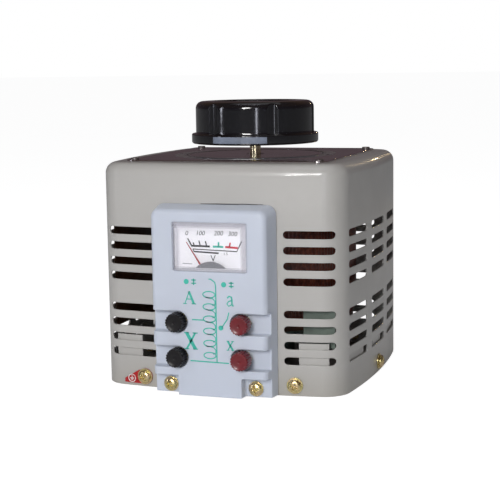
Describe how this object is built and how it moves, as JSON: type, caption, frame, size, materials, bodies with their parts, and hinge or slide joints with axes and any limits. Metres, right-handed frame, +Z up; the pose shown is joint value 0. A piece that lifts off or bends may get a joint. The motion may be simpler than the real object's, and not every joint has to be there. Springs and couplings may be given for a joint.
{
  "type": "variable autotransformer",
  "caption": "Bench variable autotransformer: slotted grey steel case with a rotary knob on top and a front terminal panel with a voltmeter.",
  "frame": {"origin": "on the shaft's axis, level with the underside of the base", "axes": "+Z up along the shaft; the terminal panel faces -Y; +X to the right when facing the panel"},
  "size_m": [0.1918, 0.203, 0.1964],
  "materials": {
    "shell_paint": "semi-gloss warm grey enamel",
    "dial_metal": "polished, with a printed ring scale",
    "bright_steel": "machined",
    "cast_support": "as cast",
    "board": "phenolic board",
    "enamelled_copper": "enamelled copper wire",
    "bare_copper": "ground bright",
    "black_moulding": "glossy phenolic moulding",
    "red_moulding": "glossy phenolic moulding",
    "brass_parts": "turned brass",
    "yellow_zinc": "yellow passivated zinc",
    "panel_white": "glossy white moulding",
    "clear_window": "clear",
    "dial_card": "printed card",
    "grey_cover": "satin grey",
    "red_paint": "red lacquer",
    "index_band": "printed label",
    "carbon": "carbon",
    "red_insulation": "lead insulation",
    "yellow_insulation": "lead insulation",
    "black_insulation": "lead insulation"
  },
  "bodies": {
    "housing": {"base_plate": "shell_paint", "shell": "shell_paint", "dial_plate": "dial_metal", "dial_rivets": "bright_steel", "coil_support": "cast_support", "winding_seat": "board", "lower_core_cup": "board", "upper_core_cup": "board", "toroid_core": "bright_steel", "winding": "enamelled_copper", "brush_track": "bare_copper", "upper_clamp": "black_moulding", "clamp_bolts": "bright_steel", "clamp_nuts": "bright_steel", "lower_bearing": "brass_parts", "upper_bearing": "brass_parts", "stop_pin": "bright_steel", "collector_contact": "brass_parts", "terminal_panel": "panel_white", "terminal_board": "board", "terminal_studs": "brass_parts", "terminal_nuts": "brass_parts", "terminal_lugs": "brass_parts", "neutral_link": "enamelled_copper", "input_leads": "red_insulation", "output_lead": "yellow_insulation", "meter_leads": "black_insulation", "meter_window": "clear_window", "meter_frame": "dial_card", "meter_dial": "dial_card", "meter_housing": "dial_card", "meter_magnet": "bright_steel", "meter_hub_cover": "grey_cover", "panel_screws": "yellow_zinc", "shell_screws": "yellow_zinc", "screw_washers": "yellow_zinc", "earth_screw": "yellow_zinc", "earth_tag": "red_paint"},
    "rotor": {"shaft": "yellow_zinc", "shaft_collar": "bright_steel", "knob": "black_moulding", "knob_insert": "brass_parts", "knob_set_screw": "bright_steel", "knob_index_label": "index_band", "rotor_hub": "board", "slip_ring": "brass_parts", "brush_disc": "dial_metal", "disc_screws": "bright_steel", "brush_holder": "brass_parts", "brush_spring": "bright_steel"},
    "brush": {"carbon_brush": "carbon"},
    "pointer": {"meter_pointer": "red_paint"},
    "input_live_clamp": {"input_live_washer": "brass_parts"},
    "input_live_knob": {"input_live_cap": "black_moulding"},
    "input_neutral_clamp": {"input_neutral_washer": "brass_parts"},
    "input_neutral_knob": {"input_neutral_cap": "black_moulding"},
    "output_live_clamp": {"output_live_washer": "brass_parts"},
    "output_live_knob": {"output_live_cap": "red_moulding"},
    "output_neutral_clamp": {"output_neutral_washer": "brass_parts"},
    "output_neutral_knob": {"output_neutral_cap": "red_moulding"}
  },
  "joints": [
    {"name": "knob_turn", "type": "hinge", "parent": "housing", "child": "rotor", "pos_m": [0, 0, 0.17], "axis": [0, 0, -1], "range_deg": [0, 315]},
    {"name": "brush_slide", "type": "slide", "parent": "rotor", "child": "brush", "axis": [0, 0, 1], "range_m": [0, 0.003], "stiffness_N_per_m": 500, "springref_m": -0.004, "deforming": ["brush_spring"]},
    {"name": "needle_turn", "type": "hinge", "parent": "housing", "child": "pointer", "pos_m": [0, -0.096, 0.0768], "axis": [0, 1, 0], "range_deg": [0, 66]},
    {"name": "input_live_travel", "type": "slide", "parent": "housing", "child": "input_live_clamp", "axis": [0, -1, 0], "range_m": [0, 0.003]},
    {"name": "input_live_turn", "type": "hinge", "parent": "input_live_clamp", "child": "input_live_knob", "pos_m": [-0.023, -0.106, 0.051], "axis": [0, -1, 0], "range_deg": [0, 1081]},
    {"name": "input_neutral_travel", "type": "slide", "parent": "housing", "child": "input_neutral_clamp", "axis": [0, -1, 0], "range_m": [0, 0.003]},
    {"name": "input_neutral_turn", "type": "hinge", "parent": "input_neutral_clamp", "child": "input_neutral_knob", "pos_m": [-0.023, -0.106, 0.0268], "axis": [0, -1, 0], "range_deg": [0, 1081]},
    {"name": "output_live_travel", "type": "slide", "parent": "housing", "child": "output_live_clamp", "axis": [0, -1, 0], "range_m": [0, 0.003]},
    {"name": "output_live_turn", "type": "hinge", "parent": "output_live_clamp", "child": "output_live_knob", "pos_m": [0.023, -0.106, 0.051], "axis": [0, -1, 0], "range_deg": [0, 1081]},
    {"name": "output_neutral_travel", "type": "slide", "parent": "housing", "child": "output_neutral_clamp", "axis": [0, -1, 0], "range_m": [0, 0.003]},
    {"name": "output_neutral_turn", "type": "hinge", "parent": "output_neutral_clamp", "child": "output_neutral_knob", "pos_m": [0.023, -0.106, 0.0268], "axis": [0, -1, 0], "range_deg": [0, 1081]}
  ],
  "couplings": [
    {"joint": "needle_turn", "follows": "knob_turn", "ratio": 0.20952},
    {"joint": "input_live_turn", "follows": "input_live_travel", "rad_per_m": 6283.2},
    {"joint": "input_neutral_turn", "follows": "input_neutral_travel", "rad_per_m": 6283.2},
    {"joint": "output_live_turn", "follows": "output_live_travel", "rad_per_m": 6283.2},
    {"joint": "output_neutral_turn", "follows": "output_neutral_travel", "rad_per_m": 6283.2}
  ]
}
